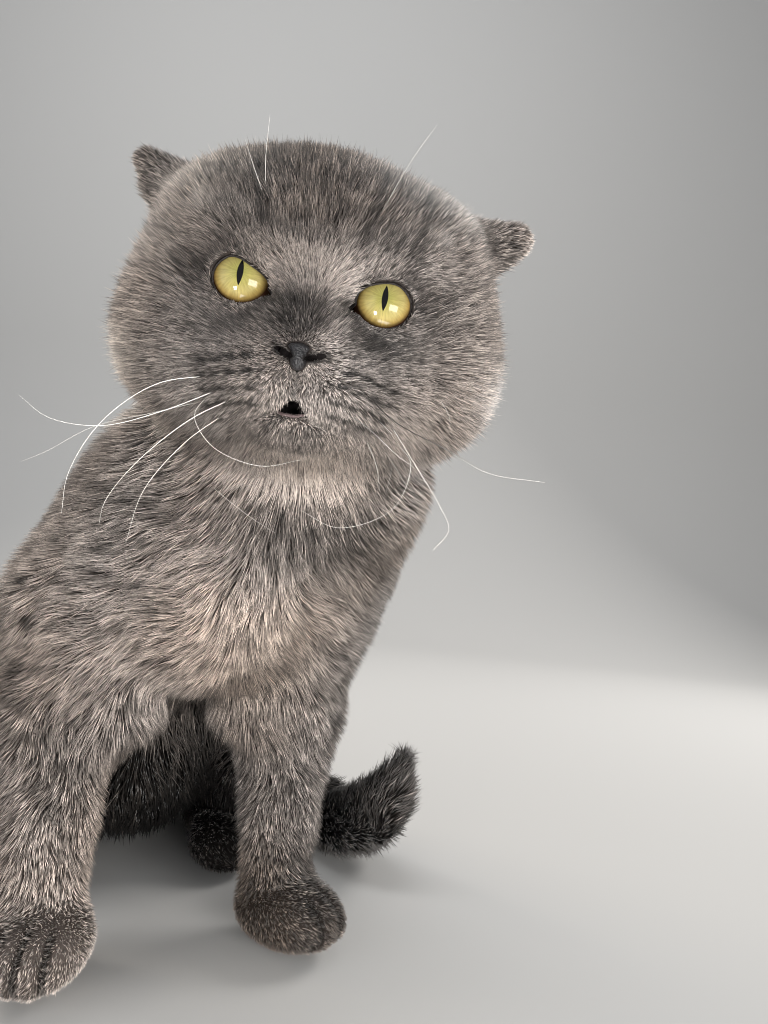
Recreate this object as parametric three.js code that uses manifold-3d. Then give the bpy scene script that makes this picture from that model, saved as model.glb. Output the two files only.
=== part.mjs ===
// A heavy-cheeked Scottish Fold tom sitting upright, life size, in millimetres.
// +Z is up, the cat faces -Y, its left side is +X, and the floor is z = 0.
// The solids give the outline to the tips of the coat. The body is one smooth
// shape, a blend of rounded masses, and is parted into named pieces by thin cuts.
import * as THREE from "three";
import { mergeVertices } from "three/addons/utils/BufferGeometryUtils.js";
import Module from "manifold-3d";

const wasm = await Module();
wasm.setup();

// Driving sizes
const GAP = 0.3; // between touching pieces
const EYE_SPACING = 46; // between the centres of the eyeballs
const EYE_RADIUS = 11;
const PAW_SPACING = 103; // between the centres of the forepaws
const PAW_AT = new THREE.Vector3(1.5, -72, 15); // midway between the forepaws
const HIND_SPACING = 96; // between the centres of the hind paws

// Head pose: the point midway between the eyes, then turn, nod and tilt in degrees
const HEAD_AT = new THREE.Vector3(-2.5, -161, 258.5);
const HEAD_TURN = -24;
const HEAD_NOD = 8;
const HEAD_TILT = 3;

// Cell sizes of the faceted surfaces, finest on the head
const NOSE_CELL = 5;
const MUZZLE_CELL = 8;
const HEAD_CELL = 12.5;
const PAW_CELL = 12;
const LEG_CELL = 16;
const BODY_CELL = 27;
const TAIL_CELL = 15;

const GREY_COAT = 0x6b655f;
const DARK_COAT = 0x4c4743;
const NOSE_LEATHER = 0x3f3d42;
const AMBER_EYE = 0xb9a23c;

const degrees = THREE.MathUtils.degToRad;
const vec = (a) => new THREE.Vector3(...a);
const inPair = (make) => [1, -1].map(make); // left first, then right
const sideName = (s) => (s > 0 ? "left" : "right");

const headPose = new THREE.Matrix4()
  .makeRotationFromEuler(new THREE.Euler(degrees(HEAD_NOD), degrees(HEAD_TILT), degrees(HEAD_TURN), "ZYX"))
  .setPosition(HEAD_AT);

// Masses. Each is an ellipsoid or a tapered limb, with how softly it joins the rest.
function mass(at, radii, blend, pose, yaw = 0) {
  const inverse = new THREE.Matrix4().makeTranslation(...at);
  inverse.multiply(new THREE.Matrix4().makeRotationZ(degrees(yaw)));
  if (pose) inverse.premultiply(pose);
  inverse.invert();
  const [a, b, c] = radii;
  const p = new THREE.Vector3();
  const distance = (x, y, z) => {
    p.set(x, y, z).applyMatrix4(inverse);
    const k0 = Math.hypot(p.x / a, p.y / b, p.z / c);
    const k1 = Math.hypot(p.x / (a * a), p.y / (b * b), p.z / (c * c));
    return k1 < 1e-9 ? -Math.min(a, b, c) : (k0 * (k0 - 1)) / k1;
  };
  return { distance, blend };
}

function limb(from, to, r1, r2, blend, pose) {
  const a = vec(from);
  const b = vec(to);
  if (pose) {
    a.applyMatrix4(pose);
    b.applyMatrix4(pose);
  }
  const ab = b.clone().sub(a);
  const length2 = ab.lengthSq();
  const q = new THREE.Vector3();
  const distance = (x, y, z) => {
    q.set(x, y, z).sub(a);
    const t = THREE.MathUtils.clamp(q.dot(ab) / length2, 0, 1);
    q.addScaledVector(ab, -t);
    return q.length() - (r1 + (r2 - r1) * t);
  };
  return { distance, blend };
}

// Head, in its own frame: origin midway between the eyes, facing -Y
const EARS = {
  left: { root: [52, 42, 33], tip: [70, 44, 42], radii: [14, 8] },
  right: { root: [-54, 42, 33], tip: [-71.5, 46, 46.5], radii: [15, 6.5] },
};
const headMasses = [
  mass([0, 42, 6], [60, 52, 48], 14, headPose), // skull
  ...inPair((s) => mass([s * 32, 30, 18], [31, 32, 32], 12, headPose)), // sides of the forehead
  mass([-2, 20, 19], [42, 30, 35], 14, headPose), // forehead
  ...inPair((s) => mass([s * 39, 30, -15], [34, 38, 37], 16, headPose)), // cheeks
  ...inPair((s) => mass([s * 26, 8, -15], [20, 16, 16], 12, headPose)), // below the eyes
  ...inPair((s) => mass([s * 11, -7, -16], [9, 11, 11], 10, headPose)), // beside the nose
  ...inPair((s) => mass([s * 24, 7, -28], [21, 18, 18], 14, headPose)), // sides of the snout
  ...inPair((s) => mass([s * 12, -7, -30], [15, 15, 11], 12, headPose)), // whisker pads
  ...inPair((s) => limb([s * 10, -4, 10], [s * 34, 2, 18], 8, 9, 8, headPose)), // brows
  limb([0, -2, 6], [0, -14, -15], 12, 9, 12, headPose), // bridge of the nose
  mass([0, -19, -21.5], [7, 6, 6], 4, headPose), // nose leather
  mass([0, -4, -42], [14, 13, 9], 8, headPose), // chin
  mass([-2, 24, -36], [42, 34, 22], 14, headPose), // throat
  ...Object.values(EARS).map((ear) => limb(ear.root, ear.tip, ...ear.radii, 6, headPose)),
];

const neckMasses = [
  limb([24, -100, 226], [4, -55, 188], 52, 60, 20),
  limb([52, -90, 206], [52, -64, 170], 38, 39, 20), // stretched left side of the neck
];

const trunkMasses = [
  mass([2, -60, 165], [66, 54, 60], 20), // chest
  mass([1, -20, 187], [55, 52, 48], 20), // withers
  mass([1, 18, 149], [70, 60, 66], 20), // ribs
  mass([0, 62, 112], [74, 58, 70], 20), // loins
  mass([0, 45, 70], [58, 52, 62], 16), // belly
  mass([0, 95, 60], [74, 55, 63], 20), // rump
];

const PAW_YAW = { left: 35, right: -25 }; // how far each forepaw points outwards
const SHOULDERS = {
  left: { at: [50, -52, 150], radii: [32, 42, 48] },
  right: { at: [-41, -52, 147], radii: [31, 42, 45] },
};
const PASTERNS = {
  left: { at: [49, -59, 32], radius: 18.5 },
  right: { at: [-50.5, -58, 32], radius: 20 },
};
const forelegMasses = (s) => {
  const x = PAW_AT.x + (s * PAW_SPACING) / 2;
  const pastern = PASTERNS[sideName(s)];
  const shoulder = SHOULDERS[sideName(s)];
  return [
    mass(shoulder.at, shoulder.radii, 18),
    mass([s * 29, -60, 110], [25, 26, 29], 12), // inside of the upper leg
    limb([s * 50, -50, 140], [s * 51, -48, 98], 32, 27, 16),
    limb([s * 51, -49, 98], pastern.at, 26, pastern.radius, 12),
    mass([x, PAW_AT.y, PAW_AT.z], [20.5, 28, 16], 10, null, PAW_YAW[sideName(s)]),
  ];
};

const hindlegMasses = (s) => {
  const x = (s * HIND_SPACING) / 2;
  return [
    mass([s * 58, 68, 62], [36, 62, 58], 16), // thigh
    mass([s * 66, 32, 56], [25, 34, 36], 14), // knee
    limb([s * 60, 90, 16], [x, 26, 14], 17, 16, 8),
    mass([x, 14, 12], [18, 22, 13], 6), // paw
  ];
};

const TAIL = [
  [0, 128, 34],
  [48, 150, 22],
  [98, 118, 18],
  [114, 62, 18],
  [122, 12, 20],
  [128, -16, 40],
  [133, -25, 66],
];
const TAIL_STEPS = 16;
const TAIL_THICK = 21;
const TAIL_POINT = 7;
const tailCurve = new THREE.CatmullRomCurve3(TAIL.map(vec));
const tailRadius = (t) =>
  THREE.MathUtils.lerp(TAIL_THICK, TAIL_POINT, THREE.MathUtils.smoothstep(t, 0.87, 1.05));
const tailMasses = Array.from({ length: TAIL_STEPS }, (_, i) => {
  const [t1, t2] = [i / TAIL_STEPS, (i + 1) / TAIL_STEPS];
  const [from, to] = [t1, t2].map((t) => tailCurve.getPointAt(t).toArray());
  return limb(from, to, tailRadius(t1), tailRadius(t2), 5);
});

const bodyMasses = [
  ...trunkMasses, ...neckMasses, ...headMasses,
  ...inPair(forelegMasses).flat(), ...inPair(hindlegMasses).flat(),
];

function smoothLeast(a, b, k) {
  const h = Math.max(k - Math.abs(a - b), 0) / k;
  return Math.min(a, b) - (h * h * k) / 4;
}

const outlineOf = (masses) => (x, y, z) => {
  let d = 1e9;
  for (const m of masses) d = smoothLeast(d, m.distance(x, y, z), m.blend);
  return d;
};
const bodyOutline = outlineOf(bodyMasses);
const tailOutline = outlineOf(tailMasses);

// Moves a point near the surface onto it along the slope of the field
function ontoSurface(field, point, cell) {
  const probe = 0.02 * cell;
  const d = field(...point);
  const slope = point.map((v, m) => {
    const beside = [...point];
    beside[m] += probe;
    return (field(...beside) - d) / probe;
  });
  const step = THREE.MathUtils.clamp(d / (Math.hypot(...slope) || 1), -0.4 * cell, 0.4 * cell);
  return point.map((v, m) => v - (step * slope[m]) / (Math.hypot(...slope) || 1));
}

// A closed mesh of the zero surface of a field inside a box, by surface nets
function surface(field, low, high, cell) {
  const start = low.map((v) => (Math.floor(v / cell) - 1) * cell);
  const count = start.map((v, i) => Math.ceil((high[i] - v) / cell) + 2);
  const [nx, ny, nz] = count;
  const value = new Float32Array(nx * ny * nz);
  const id = (i, j, k) => (i * ny + j) * nz + k;
  for (let i = 0; i < nx; i++)
    for (let j = 0; j < ny; j++)
      for (let k = 0; k < nz; k++) {
        const edge = i === 0 || j === 0 || k === 0 || i === nx - 1 || j === ny - 1 || k === nz - 1;
        const v = field(start[0] + i * cell, start[1] + j * cell, start[2] + k * cell);
        value[id(i, j, k)] = edge ? Math.max(v, cell * 0.1) : v;
      }
  // Where the two signs meet in a checker, the inner corner nearest the surface is emptied
  const strides = [ny * nz, nz, 1];
  const planes = [[0, 1], [1, 2], [0, 2]].map((pair) => pair.map((m) => strides[m]));
  for (let changed = true; changed; ) {
    changed = false;
    for (let n = 0; n < value.length - strides[0] - strides[1]; n++)
      for (const [p, q] of planes) {
        const inner = [n, n + p, n + p + q, n + q].filter((m) => value[m] < 0);
        if (inner.length !== 2) continue;
        const apart = inner[1] - inner[0];
        if (apart !== p + q && apart !== Math.abs(p - q)) continue;
        inner.sort((m, w) => value[w] - value[m]);
        value[inner[0]] = 0.05 * cell;
        changed = true;
      }
  }
  const corners = Array.from({ length: 8 }, (_, n) => [n & 1, (n >> 1) & 1, (n >> 2) & 1]);
  const edges = [];
  for (let a = 0; a < 8; a++)
    for (let b = a + 1; b < 8; b++) if ([1, 2, 4].includes(a ^ b)) edges.push([a, b]);
  const cellVertex = new Int32Array(nx * ny * nz).fill(-1);
  const points = [];
  for (let i = 0; i < nx - 1; i++)
    for (let j = 0; j < ny - 1; j++)
      for (let k = 0; k < nz - 1; k++) {
        const v = corners.map(([a, b, c]) => value[id(i + a, j + b, k + c)]);
        if (v.every((u) => u < 0) || v.every((u) => u >= 0)) continue;
        const sum = [0, 0, 0];
        let crossings = 0;
        for (const [a, b] of edges) {
          if (v[a] < 0 === v[b] < 0) continue;
          const t = v[a] / (v[a] - v[b]);
          for (let m = 0; m < 3; m++) sum[m] += corners[a][m] + t * (corners[b][m] - corners[a][m]);
          crossings++;
        }
        cellVertex[id(i, j, k)] = points.length / 3;
        const rough = [i, j, k].map((n, m) => start[m] + (n + sum[m] / crossings) * cell);
        points.push(...ontoSurface(field, rough, cell));
      }
  const triangles = [];
  const far = (a, b) => Math.hypot(...[0, 1, 2].map((m) => points[3 * a + m] - points[3 * b + m]));
  const quad = (a, b, c, d, flip) => {
    const q = flip ? [d, c, b, a] : [a, b, c, d];
    if (far(q[0], q[2]) < far(q[1], q[3])) triangles.push(q[0], q[1], q[2], q[0], q[2], q[3]);
    else triangles.push(q[1], q[2], q[3], q[1], q[3], q[0]);
  };
  for (let i = 0; i < nx - 1; i++)
    for (let j = 0; j < ny - 1; j++)
      for (let k = 0; k < nz - 1; k++) {
        const here = value[id(i, j, k)] < 0;
        const cv = (a, b, c) => cellVertex[id(i + a, j + b, k + c)];
        if (j && k && here !== value[id(i + 1, j, k)] < 0)
          quad(cv(0, -1, -1), cv(0, 0, -1), cv(0, 0, 0), cv(0, -1, 0), !here);
        if (i && k && here !== value[id(i, j + 1, k)] < 0)
          quad(cv(-1, 0, -1), cv(-1, 0, 0), cv(0, 0, 0), cv(0, 0, -1), !here);
        if (i && j && here !== value[id(i, j, k + 1)] < 0)
          quad(cv(-1, -1, 0), cv(0, -1, 0), cv(0, 0, 0), cv(-1, 0, 0), !here);
      }
  return { points: new Float32Array(points), triangles: new Uint32Array(triangles) };
}

// Solids
const manifoldOf = (points, triangles) =>
  new wasm.Manifold(new wasm.Mesh({ numProp: 3, vertProperties: points, triVerts: triangles }));

function solid(geometry, matrix) {
  const bare = geometry.clone();
  bare.deleteAttribute("normal");
  bare.deleteAttribute("uv");
  if (matrix) bare.applyMatrix4(matrix);
  const merged = mergeVertices(bare, 1e-4);
  return manifoldOf(merged.attributes.position.array, new Uint32Array(merged.index.array));
}

function fieldSolid(field, low, high, cell) {
  const { points, triangles } = surface(field, low, high, cell);
  return manifoldOf(points, triangles);
}

// Territories. Each gives its solid, grown by a distance.
const REACH = 600;

const ellipsoid = (at, radii, pose) => (grow) => {
  const matrix = new THREE.Matrix4().makeTranslation(...at);
  if (pose) matrix.premultiply(pose);
  matrix.multiply(new THREE.Matrix4().makeScale(...radii.map((r) => r + grow)));
  return solid(new THREE.SphereGeometry(1, 12, 8), matrix);
};

const block = (low, high) => (grow) => {
  const size = low.map((v, i) => high[i] - v + 2 * grow);
  const middle = low.map((v, i) => (v + high[i]) / 2);
  return solid(new THREE.BoxGeometry(...size), new THREE.Matrix4().makeTranslation(...middle));
};

// Everything on the side of a plane that its normal points to
const beyond = (point, normal, pose) => (grow) => {
  const n = vec(normal).normalize();
  const at = vec(point);
  if (pose) {
    at.applyMatrix4(pose);
    n.transformDirection(pose);
  }
  const turn = new THREE.Quaternion().setFromUnitVectors(new THREE.Vector3(0, 0, 1), n);
  const centre = at.addScaledVector(n, REACH / 2 - grow);
  const matrix = new THREE.Matrix4().compose(centre, turn, new THREE.Vector3(1, 1, 1));
  return solid(new THREE.BoxGeometry(REACH, REACH, REACH), matrix);
};

const both = (...territories) => (grow) =>
  territories.map((t) => t(grow)).reduce((a, b) => a.intersect(b));

const root = new THREE.Group();
const aboveFloor = beyond([0, 0, 0], [0, 0, 1])(0);
const WHOLE = block([-130, -230, 0], [180, 190, 360])(0);

function addNode(name, body, colour, roughness = 0.9) {
  const mesh = body.getMesh();
  const geometry = new THREE.BufferGeometry();
  geometry.setAttribute("position", new THREE.BufferAttribute(mesh.vertProperties, 3));
  geometry.setIndex(new THREE.BufferAttribute(mesh.triVerts, 1));
  const finish = new THREE.MeshStandardMaterial({ color: colour, roughness, metalness: 0 });
  const node = new THREE.Mesh(geometry, finish);
  node.name = name;
  root.add(node);
}

// Cuts one piece out of the body. What earlier pieces took stays clear by the gap.
const taken = [];
function piece(name, cell, territory, colour = GREY_COAT, hollows = []) {
  const region = territory(0).intersect(WHOLE);
  const { min, max } = region.boundingBox();
  let body = fieldSolid(bodyOutline, min, max, cell).intersect(region).intersect(aboveFloor);
  for (const earlier of [...taken, ...hollows]) body = body.subtract(earlier(GAP));
  addNode(name, body, colour);
  taken.push(territory);
}

// Eyes: whole eyeballs in their sockets, each in a shallow dish between the lids
const EYE_BACK = 1.5; // centre of the eyeball behind the plane between the eyes
const eyeAt = (s) => [(s * EYE_SPACING) / 2, EYE_BACK, 0];
const eyeball = (s) => ellipsoid(eyeAt(s), [EYE_RADIUS, EYE_RADIUS, EYE_RADIUS], headPose);
const eyeDish = (s) => ellipsoid([(s * EYE_SPACING) / 2, -13, 0], [12.5, 11, 9.5], headPose);
for (const s of [1, -1]) addNode(`eye_${sideName(s)}`, eyeball(s)(0), AMBER_EYE, 0.15);

// Head
const MOUTH_LINE = -37;
const muzzleShape = ellipsoid([0, -12, -30], [33, 24, 20], headPose);
const jawShape = ellipsoid([0, -2, -42], [25, 24, 17], headPose);
const faceHollows = [...inPair(eyeball), ...inPair(eyeDish)];
piece("nose", NOSE_CELL, ellipsoid([0, -26, -19.5], [9.5, 7.5, 7], headPose), NOSE_LEATHER);
const aboveMouth = beyond([0, 0, MOUTH_LINE], [0, 0, 1], headPose);
const belowMouth = beyond([0, 0, MOUTH_LINE - GAP], [0, 0, -1], headPose);
piece("muzzle", MUZZLE_CELL, both(muzzleShape, aboveMouth), GREY_COAT, faceHollows);
piece("jaw", MUZZLE_CELL, both(jawShape, belowMouth));
for (const [side, ear] of Object.entries(EARS)) {
  const direction = vec(ear.tip).sub(vec(ear.root)).toArray();
  const about = ellipsoid(ear.tip, [27, 27, 27], headPose);
  const outside = beyond(ear.root, direction, headPose);
  piece(`ear_${side}`, MUZZLE_CELL, both(about, outside), DARK_COAT);
}
piece("head", HEAD_CELL, beyond([0, 60, -24], [0, -0.6, 0.8], headPose), GREY_COAT, faceHollows);

// Neck and limbs, then what is left of the trunk
piece("neck", BODY_CELL, beyond([0, -118, 155], [-0.1, -0.71, 0.7]));
for (const s of [1, -1]) {
  const side = sideName(s);
  const [inner, outer] = [s * 3, s * 125].sort((a, b) => a - b);
  piece(`forepaw_${side}`, PAW_CELL, block([inner, -140, -20], [outer, -34, 27]));
  piece(`foreleg_${side}`, LEG_CELL, block([inner, -140, 20], [outer, -14, 106]));
  piece(`shoulder_${side}`, LEG_CELL, ellipsoid([s * 66, -50, 142], [38, 50, 56]));
}
for (const s of [1, -1]) {
  const side = sideName(s);
  const [inner, outer] = [s * 20, s * 86].sort((a, b) => a - b);
  piece(`hind_foot_${side}`, PAW_CELL, block([inner, -25, -20], [outer, 60, 26]), DARK_COAT);
  piece(`thigh_${side}`, LEG_CELL, ellipsoid([s * 76, 62, 52], [46, 76, 66]));
}
piece("chest", BODY_CELL, beyond([0, -6, 150], [0, -1, 0]));
piece("belly", BODY_CELL, beyond([0, 60, 100], [0, -0.9, -0.44]));
piece("hips", BODY_CELL, beyond([0, 0, -50], [0, 0, 1]));

// Tail, in three lengths, laid round the left side with the tip raised
const aroundBody = (x, y, z) => bodyOutline(x, y, z) - 3 * GAP;
const clearOfBody = fieldSolid(aroundBody, [-20, -60, -30], [160, 180, 120], TAIL_CELL);
const TAIL_CUTS = [0.4, 0.7];
const tailSolid = fieldSolid(tailOutline, [-40, -60, -20], [180, 190, 100], TAIL_CELL)
  .subtract(clearOfBody)
  .intersect(aboveFloor);
const cutAt = (t) => {
  const [at, along] = [tailCurve.getPointAt(t).toArray(), tailCurve.getTangentAt(t)];
  return { before: beyond(at, along.clone().negate().toArray()), after: beyond(at, along.toArray()) };
};
const [cutA, cutB] = TAIL_CUTS.map(cutAt);
addNode("tail_root", tailSolid.intersect(cutA.before(0)), DARK_COAT);
addNode("tail_middle", tailSolid.subtract(cutA.before(GAP)).intersect(cutB.before(0)), DARK_COAT);
addNode("tail_tip", tailSolid.subtract(cutB.before(GAP)), DARK_COAT);

// The origin is the middle of the outline, on the floor
const middle = new THREE.Box3().setFromObject(root).getCenter(new THREE.Vector3());
root.position.set(-middle.x, -middle.y, 0);

export default root;
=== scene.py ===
import math
from collections import namedtuple

import bmesh
import bpy
import numpy as np
from mathutils import Matrix, Vector, kdtree


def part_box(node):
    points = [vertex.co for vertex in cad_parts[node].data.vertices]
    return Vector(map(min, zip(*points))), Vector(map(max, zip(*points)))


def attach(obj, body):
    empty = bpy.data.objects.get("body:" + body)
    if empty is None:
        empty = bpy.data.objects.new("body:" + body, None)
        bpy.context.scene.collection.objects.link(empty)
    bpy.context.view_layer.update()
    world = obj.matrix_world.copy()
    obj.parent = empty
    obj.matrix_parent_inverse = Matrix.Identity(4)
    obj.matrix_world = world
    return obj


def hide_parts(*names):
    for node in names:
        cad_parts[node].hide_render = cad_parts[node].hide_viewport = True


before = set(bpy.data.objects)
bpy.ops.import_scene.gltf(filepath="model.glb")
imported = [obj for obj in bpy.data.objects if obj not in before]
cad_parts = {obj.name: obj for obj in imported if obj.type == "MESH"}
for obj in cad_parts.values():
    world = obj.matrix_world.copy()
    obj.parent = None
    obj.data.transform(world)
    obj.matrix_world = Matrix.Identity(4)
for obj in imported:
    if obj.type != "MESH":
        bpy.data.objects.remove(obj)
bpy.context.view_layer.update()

MM = 0.001
random = np.random.default_rng(7)

# The cat's own frame, in millimetres: +Z up, it faces -Y, and its left is +X.
# The head is posed about the point midway between the eyes.
HEAD_AT = np.array([-2.5, -161.0, 258.5])
HEAD_NOD, HEAD_TILT, HEAD_TURN = np.radians([8.0, 3.0, -24.0])
EYE_SPACING = 46.0
EYE_RADIUS = 11.0
EYE_BACK = 1.5
PARTING_X = 10.0


def turn_about(axis, angle):
    return np.array(Matrix.Rotation(angle, 3, axis))


HEAD = turn_about("Z", HEAD_TURN) @ turn_about("Y", HEAD_TILT) @ turn_about("X", HEAD_NOD)


def from_head(points):
    return points @ HEAD.T + HEAD_AT


def to_head(points):
    return (points - HEAD_AT) @ HEAD


def middle_of(node):
    low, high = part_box(node)
    return (np.array(low) + np.array(high)) / 2 / MM


# Where the cat's own frame lies in the row's frame
SHIFT = (middle_of("eye_left") + middle_of("eye_right")) / 2 - from_head([0, EYE_BACK, 0])
SHIFT[2] = 0.0


def length_of(v):
    return np.linalg.norm(v, axis=-1)


def unit(v):
    return v / np.maximum(np.linalg.norm(v, axis=-1, keepdims=True), 1e-9)


def ease(low, high, x):
    """0 at low and 1 at high, eased between."""
    t = np.clip((x - low) / (high - low), 0, 1)
    return t * t * (3 - 2 * t)


# Camera
CAMERA_AT = np.array([-92.0, -394.0, 178.0])
CAMERA_AZIMUTH, CAMERA_PITCH, CAMERA_ROLL = np.radians([-28.0, 3.0, 6.0])
FOCAL_PIXELS = 770.0
PICTURE_HEIGHT = 1024.0
SENSOR_MM = 36.0


def add_camera():
    data = bpy.data.cameras.new("camera")
    data.sensor_width = SENSOR_MM
    data.lens = SENSOR_MM * FOCAL_PIXELS / PICTURE_HEIGHT
    data.clip_start = 0.01
    camera = bpy.data.objects.new("camera", data)
    level = turn_about("Z", CAMERA_AZIMUTH) @ turn_about("X", math.pi / 2 + CAMERA_PITCH)
    place = Matrix((level @ turn_about("Z", CAMERA_ROLL)).tolist()).to_4x4()
    place.translation = Vector((CAMERA_AT + SHIFT) * MM)
    camera.matrix_world = place
    bpy.context.scene.collection.objects.link(camera)
    bpy.context.scene.camera = camera


# Masses of the body. Each belongs to one length of the coat, and has how softly it joins the
# rest, its coat's depth, the lie of its fur, and a distance.
Mass = namedtuple("Mass", "group blend coat lie distance")


def oval(q, centre, radii, turned=np.eye(3)):
    """About the distance from an ellipsoid, below zero inside."""
    q = (q - centre) @ turned
    k0 = length_of(q / radii)
    k1 = length_of(q / np.square(radii))
    return k0 * (k0 - 1) / np.maximum(k1, 1e-6)


def mass(group, at, radii, blend, coat, lie, head=False, yaw=0):
    turned = turn_about("Z", math.radians(yaw))

    def distance(points):
        return oval(to_head(points) if head else points, at, radii, turned)

    return Mass(group, blend, coat, lie, distance)


def limb(group, start, end, r1, r2, blend, coat, lie=None, head=False):
    a, b = (from_head(p) if head else np.array(p, float) for p in (start, end))
    along = b - a

    def distance(points):
        q = points - a
        t = np.clip(q @ along / (along @ along), 0, 1)
        return length_of(q - t[:, None] * along) - (r1 + (r2 - r1) * t)

    return Mass(group, blend, coat, unit(along) if lie is None else lie, distance)


MUZZLE_MIDDLE = from_head([0, -24, -18.5])
HEAD_MIDDLE = from_head([0, 34, 0])


def from_muzzle(points):
    return unit(points - MUZZLE_MIDDLE)


def from_skull(points):
    out = np.clip((points[:, 0] - PARTING_X) / 30, -1, 1)
    return unit(unit(points - HEAD_MIDDLE) + np.column_stack([0.9 * out, 0 * out, 0 * out - 0.35]))


def from_parting(points):
    out = np.clip((points[:, 0] - PARTING_X) / 18, -1, 1)
    return unit(np.column_stack([1.1 * out, 0.25 + 0 * out, -0.8 + 0.5 * np.abs(out)]))


def down_the_back(points):
    out = np.clip(points[:, 0] / 70, -1, 1)
    return unit(np.column_stack([0.25 * out, 0.9 - 0.35 * np.abs(out), -0.45 - 0.25 * np.abs(out)]))


def way(*direction):
    return unit(np.array(direction, float))


# 1 stands for the cat's left and -1 for its right.
EAR_ROOTS = {1: (52, 42, 33), -1: (-54, 42, 33)}
EAR_TIPS = {1: (70, 44, 42), -1: (-71.5, 46, 46.5)}
EAR_THICK = {1: (14, 8), -1: (15, 6.5)}
EAR_HOLLOWS = {1: (71, 35, 29), -1: (-72, 37, 31)}
HEAD_COAT, CHEEK_COAT, FACE_COAT, MUZZLE_COAT, NOSE_COAT, EAR_COAT = 4.5, 6.5, 3.0, 2.0, 1.2, 2.0
NECK_COAT, TRUNK_COAT, ARM_COAT, LEG_COAT, PAW_COAT, TAIL_COAT = 8.5, 8.5, 6.0, 4.5, 1.8, 7.0


def head_masses():
    def single(group, at, radii, blend, coat):
        return mass(group, at, radii, blend, coat, from_muzzle, True)

    def pair(group, at, *rest):
        return [single(group, [s * at[0], at[1], at[2]], *rest) for s in (1, -1)]

    def bar(start, end, r1, r2, blend):
        return limb("face", start, end, r1, r2, blend, FACE_COAT, from_muzzle, True)

    def ear(s):
        away = HEAD @ [s, 0, 0.1]
        return limb("head", EAR_ROOTS[s], EAR_TIPS[s], *EAR_THICK[s], 6, EAR_COAT, away, True)

    return [
        single("head", [0, 42, 6], [60, 52, 48], 14, HEAD_COAT),
        *pair("head", [32, 30, 18], [31, 32, 32], 12, HEAD_COAT),
        single("head", [-2, 20, 19], [42, 30, 35], 14, HEAD_COAT),
        *pair("head", [39, 30, -15], [34, 38, 37], 16, CHEEK_COAT),
        *pair("face", [26, 8, -15], [20, 16, 16], 12, FACE_COAT),
        *pair("face", [11, -7, -16], [9, 11, 11], 10, FACE_COAT),
        *pair("face", [24, 7, -28], [21, 18, 18], 14, FACE_COAT),
        *pair("face", [12, -7, -30], [15, 15, 11], 12, MUZZLE_COAT),
        bar([10, -4, 10], [34, 2, 18], 8, 9, 8),
        bar([-10, -4, 10], [-34, 2, 18], 8, 9, 8),
        bar([0, -2, 6], [0, -14, -15], 12, 9, 12),
        single("face", [0, -19, -21.5], [7, 6, 6], 4, NOSE_COAT),
        single("face", [0, -4, -42], [14, 13, 9], 8, MUZZLE_COAT),
        single("head", [-2, 24, -36], [42, 34, 22], 14, CHEEK_COAT),
        ear(1), ear(-1),
    ]


def body_masses():
    return [
        mass("chest", [2, -60, 165], [66, 54, 60], 20, TRUNK_COAT, from_parting),
        mass("back", [1, -20, 187], [55, 52, 48], 20, TRUNK_COAT, down_the_back),
        mass("back", [1, 18, 149], [70, 60, 66], 20, TRUNK_COAT, down_the_back),
        mass("back", [0, 62, 112], [74, 58, 70], 20, TRUNK_COAT, down_the_back),
        mass("belly", [0, 45, 70], [58, 52, 62], 16, TRUNK_COAT, way(0, 0.3, -0.9)),
        mass("rump", [0, 95, 60], [74, 55, 63], 20, TRUNK_COAT, down_the_back),
        limb("neck", [24, -100, 226], [4, -55, 188], 52, 60, 20, NECK_COAT, from_skull),
        limb("neck", [52, -90, 206], [52, -64, 170], 38, 39, 20, NECK_COAT, from_skull),
    ]


PAW_SPACING, HIND_SPACING = 103.0, 96.0
PAW_MIDDLE = np.array([1.5, -72.0, 15.0])
PAWS = {s: PAW_MIDDLE + [s * PAW_SPACING / 2, 0, 0] for s in (1, -1)}
PAW_YAW = {1: 35.0, -1: -25.0}
PASTERN = {1: ([49, -59, 32], 18.5), -1: ([-50.5, -58, 32], 20.0)}
SHOULDER = {1: ([50, -52, 150], [32, 42, 48]), -1: ([-41, -52, 147], [31, 42, 45])}


def side_word(s):
    return "left" if s > 0 else "right"


def foreleg_masses(s):
    leg = f"foreleg_{side_word(s)}"
    pastern, thick = PASTERN[s]
    forward = turn_about("Z", math.radians(PAW_YAW[s])) @ [0, -0.9, -0.25]
    return [
        mass(leg, *SHOULDER[s], 18, TRUNK_COAT, way(s * 0.95, 0.35, -0.15)),
        mass(leg, [s * 29, -60, 110], [25, 26, 29], 12, TRUNK_COAT, way(-s * 0.1, 0.1, -0.9)),
        limb(leg, [s * 50, -50, 140], [s * 51, -48, 98], 32, 27, 16, ARM_COAT, way(s * 0.45, 0.15, -0.8)),
        limb(leg, [s * 51, -49, 98], pastern, 26, thick, 12, LEG_COAT, way(s * 0.25, 0.05, -0.9)),
        mass(leg, PAWS[s], [20.5, 28, 16], 10, PAW_COAT, way(*forward), yaw=PAW_YAW[s]),
    ]


def hindleg_masses(s):
    x = s * HIND_SPACING / 2
    leg = f"hindleg_{side_word(s)}"
    return [
        mass(leg, [s * 58, 68, 62], [36, 62, 58], 16, TRUNK_COAT, way(s * 0.1, 0.6, -0.7)),
        mass(leg, [s * 66, 32, 56], [25, 34, 36], 14, LEG_COAT, way(0, 0.15, -0.9)),
        limb(leg, [s * 60, 90, 16], [x, 26, 14], 17, 16, 8, LEG_COAT, way(0, -0.8, -0.4)),
        mass(leg, [x, 14, 12], [18, 22, 13], 6, PAW_COAT, way(0, -0.9, -0.3)),
    ]


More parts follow.
